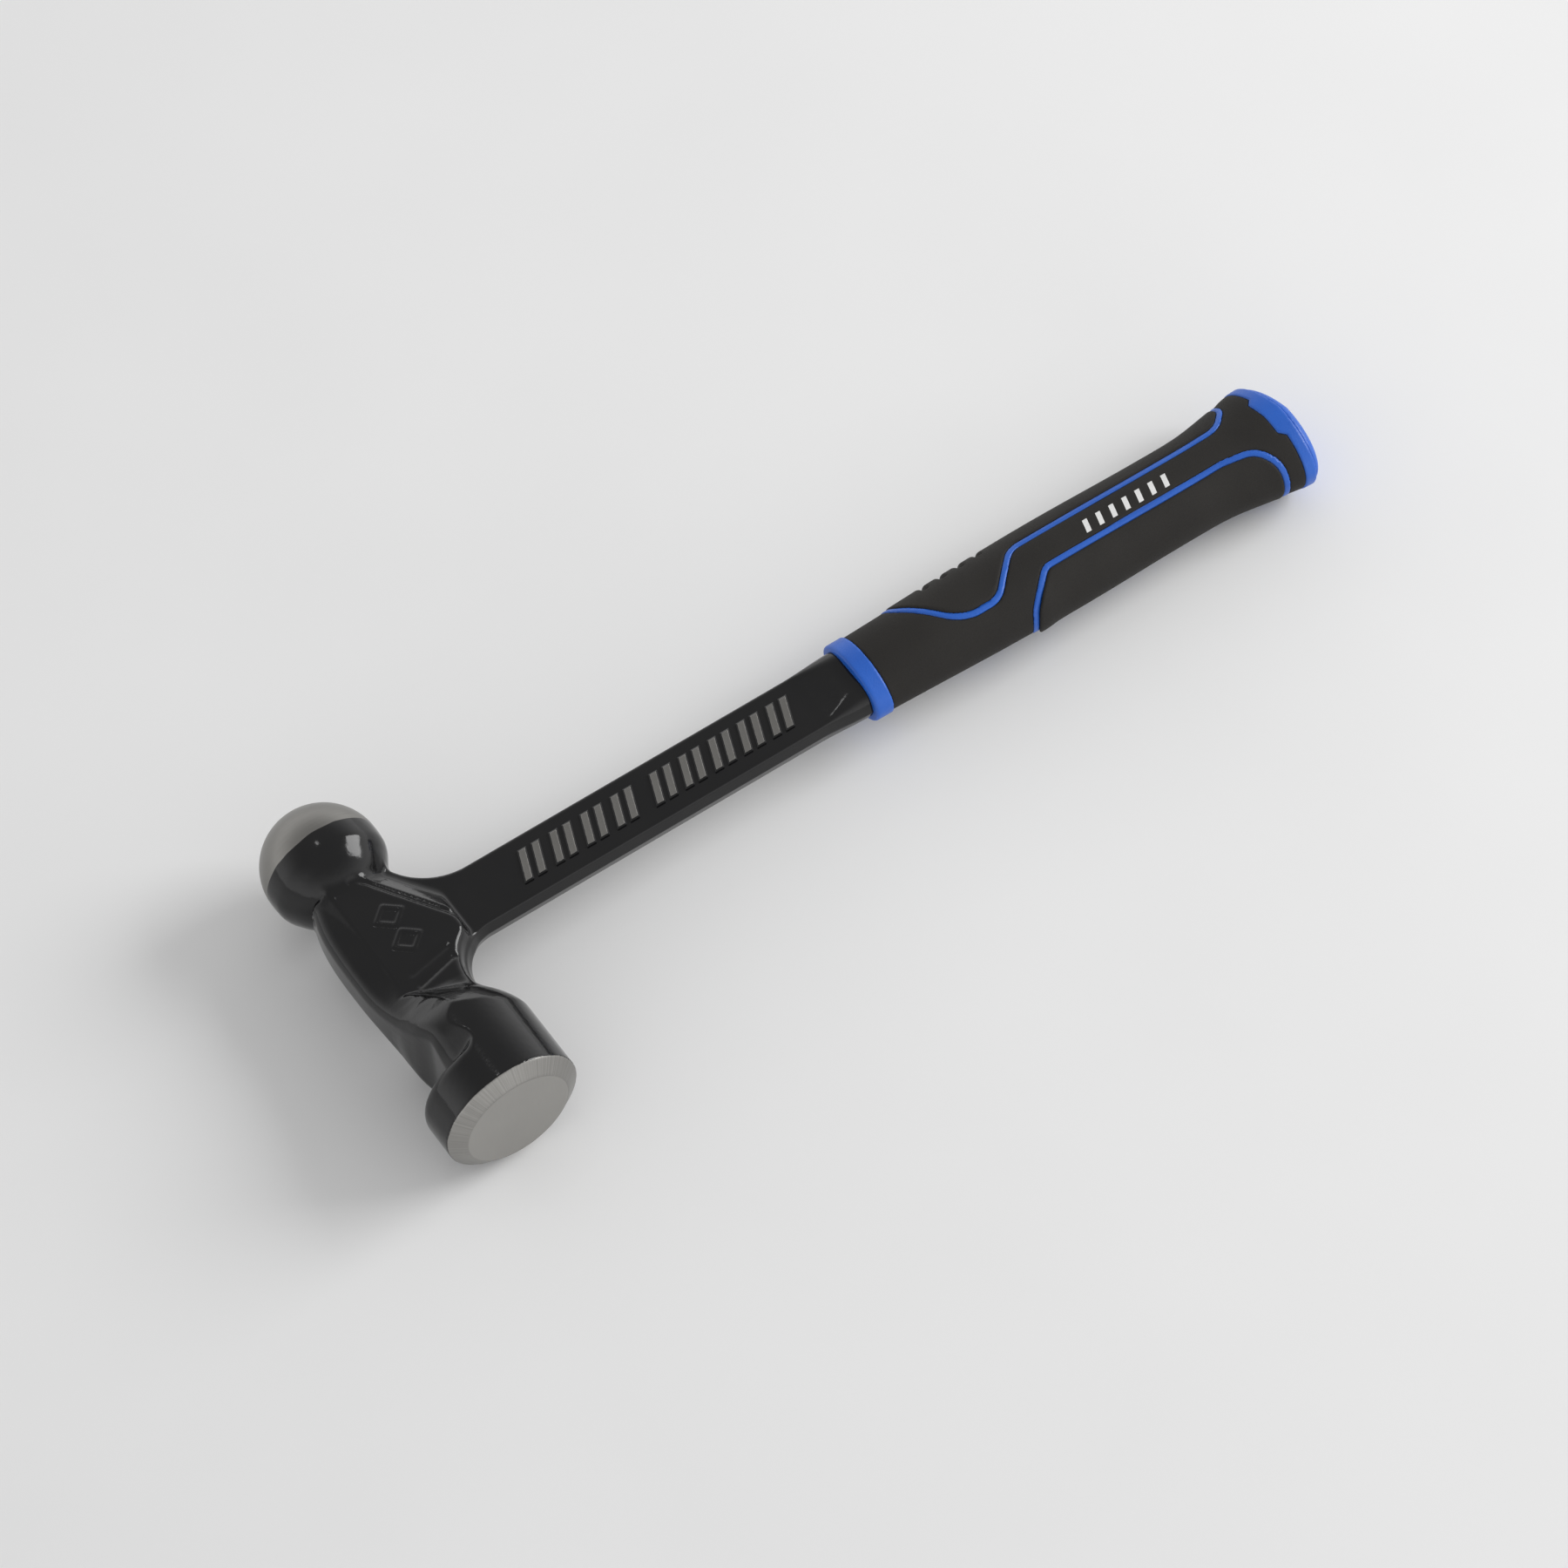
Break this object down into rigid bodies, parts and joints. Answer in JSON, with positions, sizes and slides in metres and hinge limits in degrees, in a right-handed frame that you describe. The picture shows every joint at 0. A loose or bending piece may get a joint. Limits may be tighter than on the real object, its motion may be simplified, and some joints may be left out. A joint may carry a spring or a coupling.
{
  "type": "ball peen hammer",
  "caption": "Ball peen hammer: one steel forging with a flat striking face, ball peen and slim shank, and a two-colour soft grip moulded on its tang.",
  "frame": {"origin": "centre of the flat striking face, on the forging's parting plane", "axes": "+X along the handle from the head to the butt, +Y along the head from the striking face to the ball, +Z square to both, out of one cheek"},
  "size_m": [0.3437, 0.1225, 0.0434],
  "materials": {
    "black_paint": "gloss black paint over forged steel, with the ball's cap, the striking face and its chamfer, and the tops of the raised marks left as bare ground steel",
    "blue_plastic": "satin blue hard plastic",
    "black_rubber": "fine matt black thermoplastic rubber"
  },
  "bodies": {
    "root": {"forged_steel_body": "black_paint", "grip_core": "blue_plastic", "grip_sleeve": "black_rubber", "grip_back_panel": "black_rubber", "grip_palm_panel": "black_rubber", "butt_cap": "blue_plastic"}
  },
  "joints": []
}
